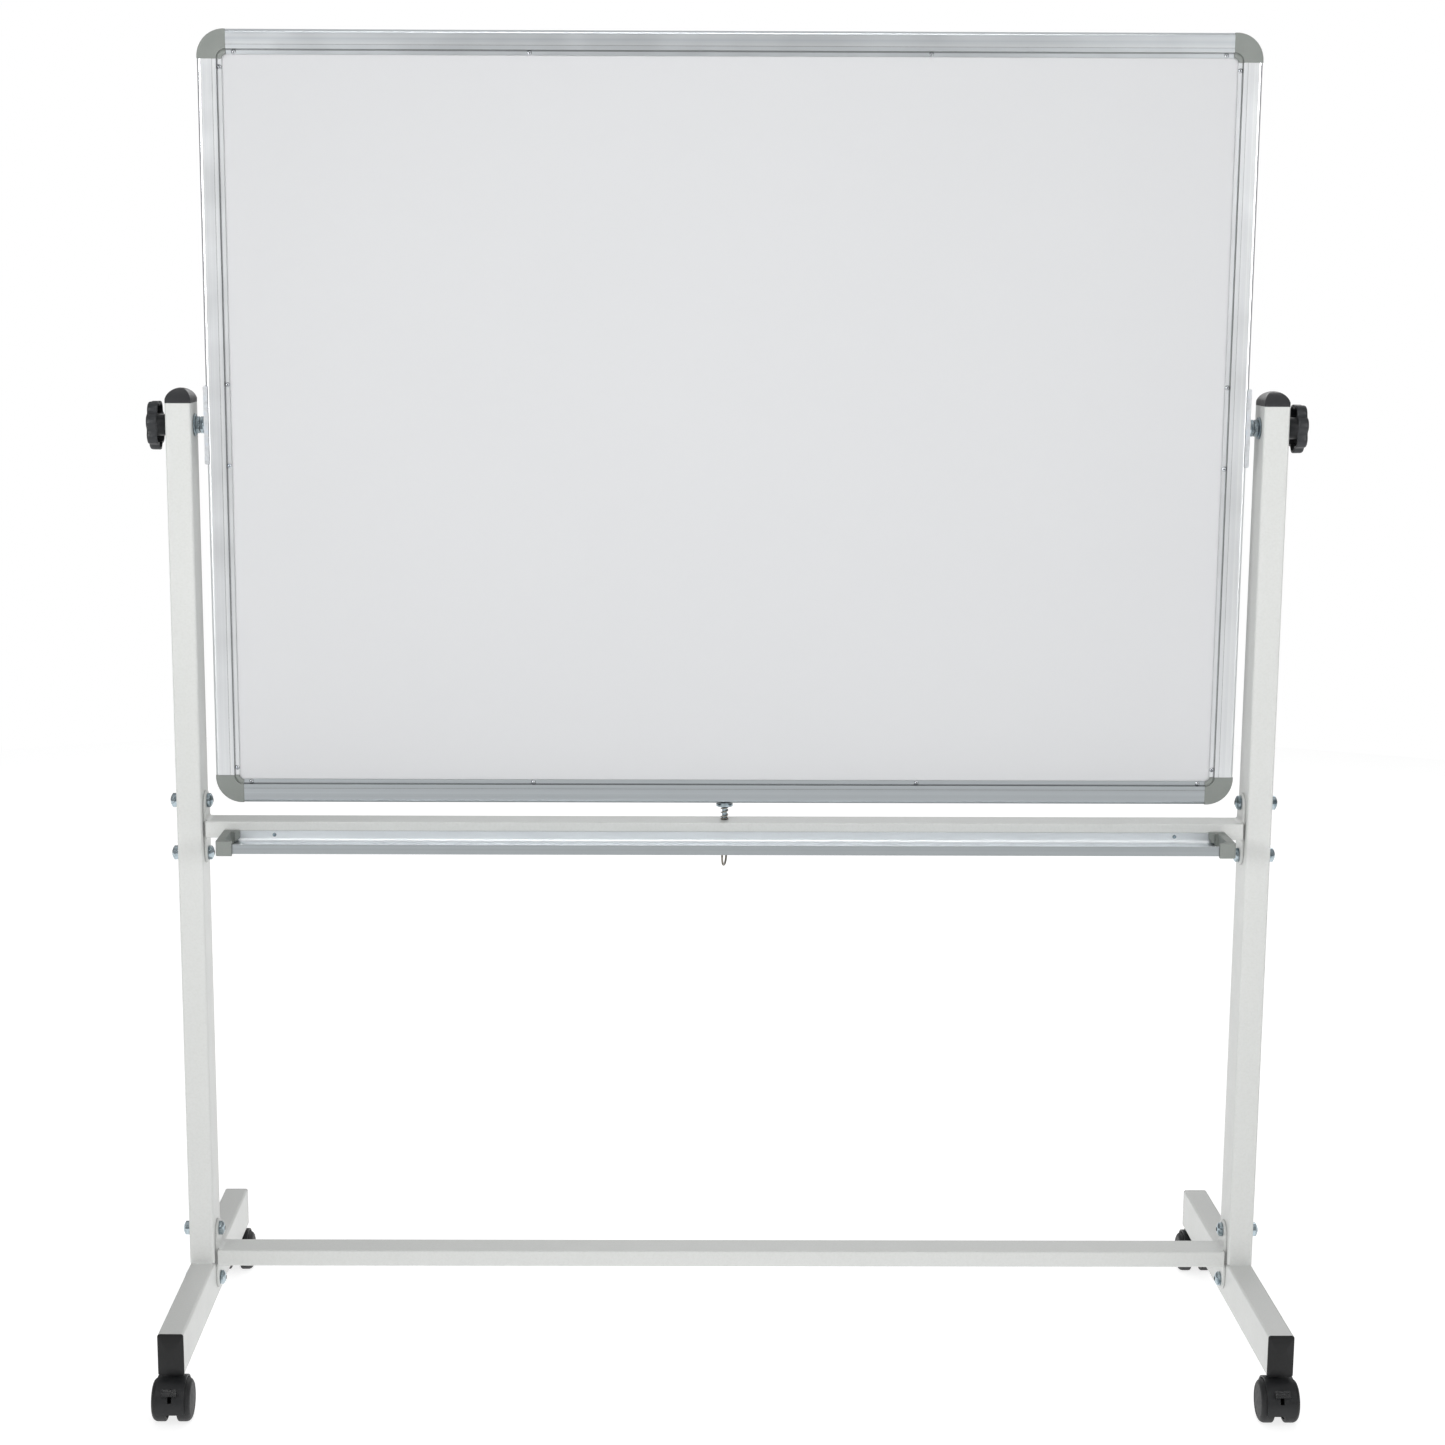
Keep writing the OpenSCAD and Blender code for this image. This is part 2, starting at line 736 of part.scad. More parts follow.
module pen_tray() {
    floor_d = tray_d - 2 * (tray_t + tray_r);
    color(anodised) difference() {
        tray_run(tray_in_cap - tray_half, tray_half - tray_in_cap) tray_section();
        // the floor is notched at both ends, where the end caps take over
        both_sides() translate([tray_half - end_block, tray_back - tray_t - tray_r - floor_d, tray_z - 1])
            cube([end_block, floor_d, tray_t + 2]);
        both_sides() translate([tray_screw_x, tray_back, tray_screw_z])
            along_front() cylinder(r = 1.8, h = 8, center = true);
    }
}

// Plan of a tray end cap: x inwards from its outer face, y from the bar forwards
module tray_end_plan() {
    front = tray_d + end_skin;
    difference() {
        union() {
            square([end_block, front - end_r]);
            translate([end_r, 0]) square([end_l - end_r, front]);
            translate([end_r, front - end_r]) circle(r = end_r);
        }
        translate([end_block, tray_t + 2]) square([end_l, tray_d - tray_t - 2 - end_grip]);
    }
}

// Web in the cap's back corner, clear of the tray's floor
module tray_end_gusset() {
    lift = end_skin + tray_t + 2.4;
    translate([0, 0, lift]) linear_extrude(end_top + end_skin - 1 - lift)
        polygon([[end_block - 1, tray_t + 1], [end_l, tray_t + 1], [end_l, tray_t + 2],
                 [end_block, tray_t + 2 + gusset], [end_block - 1, tray_t + 2 + gusset]]);
}

// Room inside a tray end cap for the aluminium
module tray_end_room() {
    gap = 0.05;
    tray_run(tray_half - end_l - 1, tray_half - tray_in_cap + gap) {
        translate([-tray_d - gap, -gap]) square([tray_t + tray_r + 2 * gap, tray_t + tray_r]);
        translate([-tray_d - gap, -gap]) square([2.2 + gap, tray_h + 2 * gap]);
        translate([-tray_t - tray_r, -gap]) square([tray_t + tray_r, tray_t + tray_r]);
        translate([-tray_t - gap, -gap]) square([tray_t + gap, tray_back_h + 2 * gap]);
    }
}

module tray_end_shape() {
    difference() {
        translate([tray_half, tray_back, tray_z - end_skin]) rotate([0, 0, 180]) {
            linear_extrude(end_top + end_skin) tray_end_plan();
            tray_end_gusset();
        }
        tray_end_room();
        // open pocket behind the outer wall
        tray_run(tray_half - end_block - 1, tray_half - tray_in_cap - 0.5)
            translate([end_grip + 6 - tray_d, tray_t]) square([tray_d - end_grip - 6 - gusset, tray_h + 5]);
    }
}

module tray_end_right() { color(cap_grey) tray_end_shape(); }
module tray_end_left() { color(cap_grey) mirror([1, 0, 0]) tray_end_shape(); }

module tray_screws() {
    color(zinc) both_sides() translate([tray_screw_x, tray_back, tray_screw_z]) along_front() {
        translate([0, 0, tray_t]) dome(tray_screw_head[0], tray_screw_head[1]);
        translate([0, 0, -5]) cylinder(r = 1.5, h = 9 + eps);
    }
}

// ---------- spring lock ----------

module lock_pin() {
    color(zinc) rotate([0, 0, -ring_turn]) difference() {
        union() {
            translate([0, 0, pin_end]) cylinder(r = pin_r, h = pin_tip - pin_end - 1);
            translate([0, 0, pin_tip - 1 - eps]) cylinder(r1 = pin_r, r2 = pin_r - 0.8, h = 1);
            translate([0, 0, spring_top]) cylinder(r = collar_r, h = collar_h - collar_step);
            translate([0, 0, spring_top]) cylinder(r = collar_r - 1.5, h = collar_h);
        }
        translate([0, 0, eye_z]) along_front() cylinder(r = eye_r, h = 10, center = true);
    }
}

// Wire ring through the eye of the pin, in the plane of Y and Z
module pull_ring() {
    color("#5A554E") rotate([0, 0, -ring_turn]) translate([0, 0, eye_z - ring_major])
        along_x() rotate_extrude() translate([ring_major, 0]) circle(r = ring_wire);
}

// Point of a helical wire's skin: t counts turns, a goes round the wire
function coil_z(t) = bar_top + spring_wire + (spring_top - bar_top - 2 * spring_wire) * t / spring_turns;
function coil_point(t, a) = [
    (spring_r + spring_wire * cos(a)) * cos(360 * t),
    (spring_r + spring_wire * cos(a)) * sin(360 * t),
    coil_z(t) + spring_wire * sin(a)
];

module lock_spring() {
    steps = 20 * spring_turns;
    sides = 8;
    points = [for (i = [0 : steps], j = [0 : sides - 1])
        coil_point(spring_turns * i / steps, 360 * j / sides)];
    skin = [for (i = [0 : steps - 1], j = [0 : sides - 1]) [
        i * sides + j, (i + 1) * sides + j,
        (i + 1) * sides + (j + 1) % sides, i * sides + (j + 1) % sides]];
    ends = [[for (j = [0 : sides - 1]) j],
            [for (j = [sides - 1 : -1 : 0]) steps * sides + j]];
    color(zinc) polyhedron(points, concat(skin, ends), convexity = 10);
}

// ---------- casters ----------

// Wheel axis, from the swivel axis
module at_axle() { translate([0, -trail, wheel_r]) children(); }

// Disc about the wheel axis, centred on the caster's middle
module axle_disc(r, w) { at_axle() along_x() cylinder(r = r, h = w, center = true); }

// Sector about the wheel axis; angles are measured upwards from the front
module axle_sector(r, a0, a1, w) {
    at_axle() rotate([0, 0, 180]) rotate([90, 0, 90]) linear_extrude(w, center = true)
        polygon(sector_points(r, a0, a1, 12));
}

// Half section of a wheel: x is the radius, y the distance from the caster's middle
module wheel_section() {
    polygon(concat(
        [[axle_hole_r, wheel_in], [9, wheel_in], [9, wheel_in + 1.5], [wheel_r - 4, wheel_in + 1.5]],
        [[wheel_r - 4, wheel_in]],
        arc(wheel_r - 2, wheel_in + 2, 2, 270, 360, 5),
        arc(shoulder_r, tread_out, wheel_r - shoulder_r, 0, 90, 10),
        [[shoulder_r - 1.5, tread_out + wheel_r - shoulder_r - 0.6], [6, wheel_out], [0, wheel_out]],
        [[0, axle_half + 0.4], [axle_hole_r, axle_half + 0.4]]
    ));
}

// Wheel on the +X side
module wheel_shape() { at_axle() along_x() rotate_extrude() wheel_section(); }

module hood_shape() {
    difference() {
        union() {
            difference() {
                axle_disc(hood_out, 2 * hood_half);
                for (s = [-1, 1]) translate([s * (web_half + 20), 0, 0]) axle_disc(hood_in, 40);
                for (s = [-1, 1]) translate([s * (web_half + 20), 20 - trail, hood_back_z - 20])
                    cube([40, 40, 40], center = true);
            }
            translate([-web_half, -boss_r, 18]) cube([2 * web_half, boss_r + 7.5, boss_z - 18 + 1]);
            translate([0, 0, boss_z]) cylinder(r = boss_r, h = boss_top - boss_z);
        }
        translate([0, -trail, hood_cut_z - 20]) cube([60, 80, 40], center = true);
        translate([0, 0, stem_bottom]) cylinder(r = stem_hole_r, h = 40);
        axle_disc(axle_hole_r, 20);
        axle_disc(brake_hub_r + 0.4, 2 * brake_half + 0.6);
        axle_sector(hood_out + 5, brake_slot[0], brake_slot[1], 2 * brake_half + 0.6);
    }
}

// Brake pedal: an arm on the axle that comes out through the hood's slot as a wide tab
module brake_shape() {
    difference() {
        union() {
            axle_disc(brake_hub_r, 2 * brake_half);
            axle_sector(brake_tab_r[1], brake_angles[0], brake_angles[1], 2 * brake_half);
            difference() {
                axle_sector(brake_tab_r[1], brake_angles[0], brake_angles[1], 2 * brake_tab_half);
                axle_disc(brake_tab_r[0], 2 * brake_tab_half + 1);
            }
        }
        axle_disc(axle_hole_r, 20);
        // groove between the tab's two ridges
        axle_groove();
    }
}

module axle_groove() {
    middle = (brake_angles[0] + brake_angles[1]) / 2;
    at_axle() rotate([-middle, 0, 0]) translate([0, -brake_tab_r[1], 0])
        cube([2 * brake_tab_half + 1, 1.6, 2.4], center = true);
}

module axle_shape() { at_axle() along_x() cylinder(r = axle_r, h = 2 * axle_half, center = true); }

// Caster places: x side, y side. The wheels trail away from the stand's middle
module at_caster(sx, sy) {
    translate([sx * upright_x, sy * caster_y, 0]) rotate([0, 0, sy > 0 ? 180 : 0]) children();
}

// Wheel on the side of the caster that faces away from the stand, or towards it
module at_wheel(sx, sy, side) {
    at_caster(sx, sy) mirror([sx * sy * side > 0 ? 1 : 0, 0, 0]) children();
}

module stem_shape() {
    translate([0, 0, stem_bottom + 1]) cylinder(r = stem_r, h = foot_z - stem_bottom - 1);
    translate([0, 0, foot_z - flange_t]) cylinder(r = flange_r, h = flange_t);
    translate([0, 0, foot_z - eps]) cylinder(r = thread_r - 0.02, h = thread_l);
}

module caster_stems() {
    color(zinc) for (sx = [-1, 1], sy = [-1, 1]) translate([sx * upright_x, sy * caster_y, 0]) stem_shape();
}

module hood(sx, sy) { color(black_plastic) at_caster(sx, sy) hood_shape(); }
module axle(sx, sy) { color(zinc) at_caster(sx, sy) axle_shape(); }
module brake(sx, sy) { color("#3A3D3F") at_caster(sx, sy) brake_shape(); }
module wheel_outer(sx, sy) { color("#37393B") at_wheel(sx, sy, 1) wheel_shape(); }
module wheel_inner(sx, sy) { color("#37393B") at_wheel(sx, sy, -1) wheel_shape(); }

// ---------- assembly ----------

upright_left();
upright_right();
upright_caps();
foot_left();
foot_right();
foot_end_caps();
crossbar_upper();
crossbar_lower();
crossbar_end_plates();
crossbar_bolts();
crossbar_nuts();
pen_tray();
tray_end_left();
tray_end_right();
tray_screws();
caster_stems();
lock_spring();
board_core();
writing_sheet_front();
writing_sheet_back();
rail_top();
rail_bottom();
rail_left();
rail_right();
corner_cap_top_left();
corner_cap_top_right();
corner_cap_bottom_left();
corner_cap_bottom_right();
frame_screws();
pivot_plates();
pivot_plate_screws();
pivot_bolts();
pivot_nuts();
pivot_washers();
knob_left();
knob_right();
knob_insert_left();
knob_insert_right();
lock_pin();
pull_ring();
hood(-1, -1);  // front_left_hood
axle(-1, -1);  // front_left_axle
wheel_outer(-1, -1);  // front_left_wheel_outer
wheel_inner(-1, -1);  // front_left_wheel_inner
brake(-1, -1);  // front_left_brake
hood(1, -1);  // front_right_hood
axle(1, -1);  // front_right_axle
wheel_outer(1, -1);  // front_right_wheel_outer
wheel_inner(1, -1);  // front_right_wheel_inner
brake(1, -1);  // front_right_brake
hood(-1, 1);  // rear_left_hood
axle(-1, 1);  // rear_left_axle
wheel_outer(-1, 1);  // rear_left_wheel_outer
wheel_inner(-1, 1);  // rear_left_wheel_inner
brake(-1, 1);  // rear_left_brake
hood(1, 1);  // rear_right_hood
axle(1, 1);  // rear_right_axle
wheel_outer(1, 1);  // rear_right_wheel_outer
wheel_inner(1, 1);  // rear_right_wheel_inner
brake(1, 1);  // rear_right_brake
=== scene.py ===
"""Looks of the rolling whiteboard: materials, fine detail, floor, light and camera around the model."""
import json
import math
import random

import bpy
import bmesh
from mathutils import Matrix, Vector


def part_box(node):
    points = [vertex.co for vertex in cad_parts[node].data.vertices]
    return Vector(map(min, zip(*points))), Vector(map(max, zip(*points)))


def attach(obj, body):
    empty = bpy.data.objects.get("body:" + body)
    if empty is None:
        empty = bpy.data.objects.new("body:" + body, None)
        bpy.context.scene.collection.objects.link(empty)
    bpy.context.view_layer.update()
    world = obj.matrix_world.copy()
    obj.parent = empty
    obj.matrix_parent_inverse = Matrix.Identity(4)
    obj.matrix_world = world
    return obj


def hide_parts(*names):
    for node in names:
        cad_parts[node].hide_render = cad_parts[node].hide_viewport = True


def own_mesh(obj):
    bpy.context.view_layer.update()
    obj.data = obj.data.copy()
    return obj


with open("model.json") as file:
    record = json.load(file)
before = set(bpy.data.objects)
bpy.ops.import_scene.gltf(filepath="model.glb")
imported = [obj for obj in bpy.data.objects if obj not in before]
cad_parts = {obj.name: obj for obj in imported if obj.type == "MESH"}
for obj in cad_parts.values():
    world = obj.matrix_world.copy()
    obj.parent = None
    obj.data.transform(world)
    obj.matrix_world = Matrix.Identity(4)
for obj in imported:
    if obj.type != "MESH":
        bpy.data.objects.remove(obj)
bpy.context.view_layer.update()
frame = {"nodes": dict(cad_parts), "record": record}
nodes = frame["nodes"]
MM = 0.001

# Sockets of the Mix node when it blends colours
MIX_FACTOR = 0
MIX_A = 6
MIX_B = 7
MIX_RESULT = 2


# ---------------------------------------------------------------- materials

class Shader:
    """A principled material that is built up node by node."""

    def __init__(self, name, metallic=0.0, roughness=0.5, specular=0.5, coat=0.0, coat_roughness=0.1):
        self.mat = bpy.data.materials.new(name)
        self.mat.use_nodes = True
        self.tree = self.mat.node_tree
        self.bsdf = self.tree.nodes["Principled BSDF"]
        self.bsdf.inputs["Metallic"].default_value = metallic
        self.bsdf.inputs["Roughness"].default_value = roughness
        self.bsdf.inputs["Specular IOR Level"].default_value = specular
        self.bsdf.inputs["Coat Weight"].default_value = coat
        self.bsdf.inputs["Coat Roughness"].default_value = coat_roughness
        self.coord = self.tree.nodes.new("ShaderNodeTexCoord").outputs["Object"]
        self.bump_out = None

    def link(self, source, socket):
        self.tree.links.new(source, socket)

    def stretched(self, scale):
        """Object coordinates multiplied by scale, so that a texture can be stretched along one axis."""
        mapping = self.tree.nodes.new("ShaderNodeMapping")
        mapping.inputs["Scale"].default_value = scale
        self.link(self.coord, mapping.inputs["Vector"])
        return mapping.outputs["Vector"]

    def noise(self, scale, detail=3.0, rough=0.5, distortion=0.0):
        """Noise whose grains are about 1/scale metres. scale is a number or one number an axis."""
        node = self.tree.nodes.new("ShaderNodeTexNoise")
        node.inputs["Detail"].default_value = detail
        node.inputs["Roughness"].default_value = rough
        node.inputs["Distortion"].default_value = distortion
        if isinstance(scale, tuple):
            node.inputs["Scale"].default_value = 1.0
            self.link(self.stretched(scale), node.inputs["Vector"])
        else:
            node.inputs["Scale"].default_value = scale
            self.link(self.coord, node.inputs["Vector"])
        return node.outputs["Fac"]

    def cells(self, scale):
        """Distance to the nearest of many scattered points, about 1/scale metres apart."""
        node = self.tree.nodes.new("ShaderNodeTexVoronoi")
        node.inputs["Scale"].default_value = scale
        self.link(self.coord, node.inputs["Vector"])
        return node.outputs["Distance"]

    def ramp(self, source, stops):
        """Turns a pattern into colours; stops are (place, colour) pairs."""
        node = self.tree.nodes.new("ShaderNodeValToRGB")
        ramp = node.color_ramp
        while len(ramp.elements) < len(stops):
            ramp.elements.new(0.5)
        for element, (place, color) in zip(ramp.elements, stops):
            element.position = place
            element.color = (*color, 1.0)
        self.link(source, node.inputs["Fac"])
        return node.outputs["Color"]

    def mix(self, fac, a, b, blend="MIX"):
        """Blends two colours, each a value or a socket."""
        node = self.tree.nodes.new("ShaderNodeMix")
        node.data_type = "RGBA"
        node.blend_type = blend
        for index, value in ((MIX_FACTOR, fac), (MIX_A, a), (MIX_B, b)):
            target = node.inputs[index]
            if isinstance(value, bpy.types.NodeSocket):
                self.link(value, target)
            elif isinstance(value, tuple):
                target.default_value = (*value, 1.0)
            else:
                target.default_value = value
        return node.outputs[MIX_RESULT]

    def spread(self, source, low, high):
        """Maps a 0 to 1 pattern to low to high."""
        node = self.tree.nodes.new("ShaderNodeMapRange")
        node.inputs["From Min"].default_value = 0.25
        node.inputs["From Max"].default_value = 0.75
        node.inputs["To Min"].default_value = low
        node.inputs["To Max"].default_value = high
        self.link(source, node.inputs["Value"])
        return node.outputs["Result"]

    def crevice_shade(self, reach, dark):
        """Painted shade: white in the open, dark where other surfaces stand closer than reach metres."""
        node = self.tree.nodes.new("ShaderNodeAmbientOcclusion")
        node.samples = 8
        node.inputs["Distance"].default_value = reach
        return self.ramp(node.outputs["AO"], [(0.35, (dark, dark, dark)), (0.75, (1.0, 1.0, 1.0))])

    def in_front_of(self, y):
        """1 in front of the plane Y = y, 0 behind it."""
        split = self.tree.nodes.new("ShaderNodeSeparateXYZ")
        self.link(self.coord, split.inputs["Vector"])
        level = self.tree.nodes.new("ShaderNodeMath")
        level.operation = "LESS_THAN"
        level.inputs[1].default_value = y
        self.link(split.outputs["Y"], level.inputs[0])
        return level.outputs["Value"]

    def color(self, source):
        self.link(source, self.bsdf.inputs["Base Color"])

    def roughness(self, source):
        self.link(source, self.bsdf.inputs["Roughness"])

    def bump(self, source, depth, strength=1.0):
        """Adds a height pattern of that depth in metres on top of the earlier ones."""
        node = self.tree.nodes.new("ShaderNodeBump")
        node.inputs["Distance"].default_value = depth
        node.inputs["Strength"].default_value = strength
        self.link(source, node.inputs["Height"])
        if self.bump_out:
            self.link(self.bump_out, node.inputs["Normal"])
        self.bump_out = node.outputs["Normal"]
        self.link(self.bump_out, self.bsdf.inputs["Normal"])


def powder_coat():
    s = Shader("powder_coat", roughness=0.42, specular=0.45, coat=0.12, coat_roughness=0.25)
    tone = s.ramp(s.noise(4.0, 2.0), [(0.3, (0.672, 0.684, 0.668)), (0.7, (0.694, 0.704, 0.690))])
    speck = s.ramp(s.noise(420.0, 2.0), [(0.25, (0.955, 0.955, 0.95)), (0.6, (1.0, 1.0, 1.0))])
    # Painted shade: the coat's colour darkens to half where other surfaces stand within 5 mm, in corners and
    # joints.
    s.color(s.mix(1.0, s.mix(1.0, tone, speck, "MULTIPLY"), s.crevice_shade(0.005, 0.5), "MULTIPLY"))
    s.roughness(s.spread(s.noise(35.0, 4.0), 0.36, 0.50))
    s.bump(s.noise(650.0, 2.0), 0.00010, 0.55)
    s.bump(s.noise(130.0, 2.0), 0.00020, 0.25)
    return s.mat


def anodised(name, along, dark, light, painted_lit_inside=None, duller=0.0):
    """Satin aluminium with die lines along one axis and painted shade in its narrow grooves.

    A lighter colour goes on everything behind the front skin of the pen tray: painted light, while the front
    skin keeps the darker tone as painted shade of the same aluminium.
    """
    s = Shader(name, metallic=1.0, roughness=0.3, specular=0.5)
    streak = tuple(0.35 if axis == along else 1400.0 for axis in "XYZ")
    broad = tuple(0.2 if axis == along else 240.0 for axis in "XYZ")
    fine = s.noise(streak, 2.0)
    wide = s.noise(broad, 2.0)
    tone = s.ramp(wide, [(0.3, dark), (0.7, light)])
    if painted_lit_inside:
        # Painted light and shade: the tray's inner faces get the lighter colour, its front skin the darker
        # tone.
        tone = s.mix(s.in_front_of(TRAY_FRONT + LIP_SKIN), painted_lit_inside, tone)
    line = s.ramp(fine, [(0.3, (0.95, 0.95, 0.95)), (0.65, (1.0, 1.0, 1.0))])
    # Painted shade: the colour darkens to a quarter in grooves and joints within 4 mm.
    s.color(s.mix(1.0, s.mix(1.0, tone, line, "MULTIPLY"), s.crevice_shade(0.004, 0.25), "MULTIPLY"))
    s.roughness(s.spread(s.noise(28.0, 3.0), 0.30 + duller, 0.36 + duller))
    s.bump(fine, 0.00001, 0.3)
    return s.mat


def writing_surface():
    s = Shader("writing_surface", roughness=0.3, specular=0.5, coat=0.35, coat_roughness=0.12)
    cloud = s.noise(1.6, 3.0)
    tone = s.ramp(cloud, [(0.3, (0.648, 0.655, 0.668)), (0.7, (0.660, 0.667, 0.679))])
    wiped = s.noise((7.0, 30.0, 21.0), 5.0, 0.6, 1.2)
    ghost = s.ramp(wiped, [(0.35, (0.998, 0.998, 0.998)), (0.6, (1.0, 1.0, 1.0))])
    s.color(s.mix(1.0, tone, ghost, "MULTIPLY"))
    s.roughness(s.spread(wiped, 0.285, 0.305))
    s.bump(s.noise(90.0, 2.0), 0.00004, 0.2)
    s.bump(s.noise(900.0, 2.0), 0.00001, 0.3)
    return s.mat


def moulded(name, dark, light, rough, grain=1500.0, depth=0.00006, specular=0.45):
    """Moulded plastic with a spark-eroded grain and faint flow marks."""
    s = Shader(name, roughness=rough, specular=specular)
    flow = s.noise(38.0, 3.0, 0.5, 0.6)
    tone = s.ramp(flow, [(0.3, dark), (0.7, light)])
    pores = s.ramp(s.cells(grain), [(0.05, (0.90, 0.90, 0.90)), (0.45, (1.0, 1.0, 1.0))])
    s.color(s.mix(1.0, tone, pores, "MULTIPLY"))
    s.roughness(s.spread(s.noise(220.0, 3.0), rough - 0.06, rough + 0.08))
    s.bump(s.cells(grain), depth, 0.6)
    s.bump(s.noise(grain * 0.35, 3.0), depth, 0.35)
    return s.mat


def zinc_plate(name, dark, light, rough):
    """Bright zinc plating with the bluish drift of its passivation."""
    s = Shader(name, metallic=1.0, roughness=rough)
    drift = s.noise(120.0, 3.0, 0.5, 0.8)
    bluish = (light[0] * 0.93, light[1] * 0.98, light[2] * 1.04)
    tone = s.ramp(drift, [(0.28, dark), (0.52, light), (0.75, bluish)])
    grain = s.ramp(s.noise(2200.0, 2.0), [(0.25, (0.88, 0.88, 0.88)), (0.6, (1.0, 1.0, 1.0))])
    # Painted shade: the colour darkens in sockets and corners where other surfaces stand within 6 mm.
    s.color(s.mix(1.0, s.mix(1.0, tone, grain, "MULTIPLY"), s.crevice_shade(0.006, 0.12), "MULTIPLY"))
    s.roughness(s.spread(s.noise(500.0, 3.0), rough - 0.05, rough + 0.08))
    s.bump(s.noise(1600.0, 3.0), 0.00003, 0.5)
    return s.mat


def brass():
    s = Shader("brass_insert", metallic=1.0, roughness=0.3)
    s.color(s.ramp(s.noise(300.0, 3.0), [(0.3, (0.62, 0.44, 0.18)), (0.7, (0.76, 0.57, 0.27))]))
    s.roughness(s.spread(s.noise(700.0, 2.0), 0.24, 0.38))
    s.bump(s.noise((2500.0, 300.0, 300.0), 2.0), 0.00002, 0.6)
    return s.mat


def fibreboard():
    s = Shader("fibreboard", roughness=0.85, specular=0.2)
    fibre = s.noise((300.0, 1200.0, 300.0), 5.0, 0.6)
    s.color(s.ramp(fibre, [(0.3, (0.30, 0.20, 0.10)), (0.7, (0.46, 0.33, 0.19))]))
    s.roughness(s.spread(fibre, 0.78, 0.92))
    s.bump(fibre, 0.0002, 0.6)
    return s.mat


FLOOR_GLOW = 0.78


def floor_material():
    s = Shader("studio_floor", roughness=0.9, specular=0.1)
    s.bsdf.inputs["Emission Color"].default_value = (1.0, 1.0, 1.0, 1.0)
    s.bsdf.inputs["Emission Strength"].default_value = FLOOR_GLOW
    s.color(s.ramp(s.noise(2.0, 2.0), [(0.3, (0.495, 0.497, 0.498)), (0.7, (0.505, 0.506, 0.507))]))
    return s.mat


TRAY_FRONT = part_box("pen_tray")[0].y
LIP_SKIN = 0.0004           # depth of the outer skin on the tray's front wall

MATERIALS = {
    "powder_coat": powder_coat(),
    "black_cap": moulded("black_cap", (0.026, 0.0265, 0.029), (0.036, 0.037, 0.040), 0.38, specular=0.40),
    "black_foot": moulded("black_foot",
        (0.006, 0.0062, 0.0066), (0.010, 0.0104, 0.0108), 0.34, specular=0.33),
    "zinc": zinc_plate("zinc", (0.16, 0.22, 0.26), (0.50, 0.58, 0.62), 0.17),
    "spring_steel": zinc_plate("spring_steel", (0.22, 0.20, 0.17), (0.42, 0.39, 0.33), 0.30),
    "dark_ring": zinc_plate("dark_ring", (0.09, 0.08, 0.065), (0.24, 0.215, 0.18), 0.24),
    # The anodised entries are one aluminium in lighter and darker copies: painted reflection and shade for
    # how each part faces the lights.
    "anodised": anodised("anodised", "X", (0.485, 0.52, 0.54), (0.565, 0.60, 0.625)),
    "anodised_top": anodised("anodised_top", "X", (0.72, 0.76, 0.79), (0.84, 0.87, 0.89)),
    # The pen tray's dark front tone and light inner colour are painted shade and painted light on one
    # aluminium.
    "anodised_tray": anodised("anodised_tray", "X",
        (0.39, 0.42, 0.435), (0.47, 0.50, 0.515), (0.84, 0.87, 0.89), 0.10),
    "anodised_upright": anodised("anodised_upright", "Z", (0.86, 0.88, 0.90), (0.93, 0.95, 0.96)),
    "bright_plate": zinc_plate("bright_plate", (0.58, 0.60, 0.62), (0.70, 0.72, 0.74), 0.42),
    "lip_screw": zinc_plate("lip_screw", (0.34, 0.36, 0.38), (0.60, 0.62, 0.64), 0.22),
    "grey_plastic": moulded("grey_plastic", (0.232, 0.250, 0.234), (0.254, 0.272, 0.256), 0.48),
    "writing_surface": writing_surface(),
    "fibreboard": fibreboard(),
    "knob_plastic": moulded("knob_plastic",
        (0.019, 0.021, 0.023), (0.029, 0.031, 0.035), 0.36, 900.0, 0.00010, 0.42),
    "brass_insert": brass(),
    "caster_plastic": moulded("caster_plastic",
        (0.011, 0.0118, 0.013), (0.017, 0.018, 0.0195), 0.40, specular=0.36),
    "wheel_plastic": moulded("wheel_plastic",
        (0.013, 0.0135, 0.0145), (0.020, 0.0205, 0.022), 0.50, specular=0.3),
    "axle_steel": zinc_plate("axle_steel", (0.42, 0.44, 0.46), (0.64, 0.66, 0.68), 0.24),
    "pedal_plastic": moulded("pedal_plastic",
        (0.010, 0.0105, 0.011), (0.016, 0.0165, 0.018), 0.28, specular=0.6),
}
# Nodes that look different from the rest of their material slot. The side rails, the top rail and the pen
# tray are one anodised aluminium, given lighter and darker copies as painted reflection and shade.
OWN_LOOK = {
    "rail_left": "anodised_upright",
    "rail_right": "anodised_upright",
    "rail_top": "anodised_top",
    "pen_tray": "anodised_tray",
    "pivot_plates": "bright_plate",
    "frame_screws": "lip_screw",
    "pull_ring": "dark_ring",
    "foot_end_caps": "black_foot",
}
SLOT = {entry["node"]: entry["material_slot"] for entry in frame["record"]["subparts"]}


def dress(obj, material):
    """Puts one material on every face of an object."""
    if not obj.material_slots:
        obj.data.materials.append(material)
    for slot in obj.material_slots:
        slot.material = material


for name, obj in nodes.items():
    slot = SLOT[name]
    dress(obj, MATERIALS[OWN_LOOK.get(name, slot)])


# ---------------------------------------------------------------- soft edges on the carried-over nodes

# Width in mm of the soft edge on each material slot
EDGE = {
    "powder_coat": 0.5, "grey_plastic": 0.6, "black_cap": 0.7, "anodised": 0.25, "zinc": 0.2,
    "caster_plastic": 0.5, "wheel_plastic": 0.35, "pedal_plastic": 0.3,
}


WELD_DISTANCE = 0.000004    # metres
FLAT_DEG = 0.5              # triangles that meet at less than this are one flat face
HARD_EDGE_DEG = 32          # edges sharper than this are rounded
EVEN_WEIGHT = 60            # how strongly large faces rule the shading


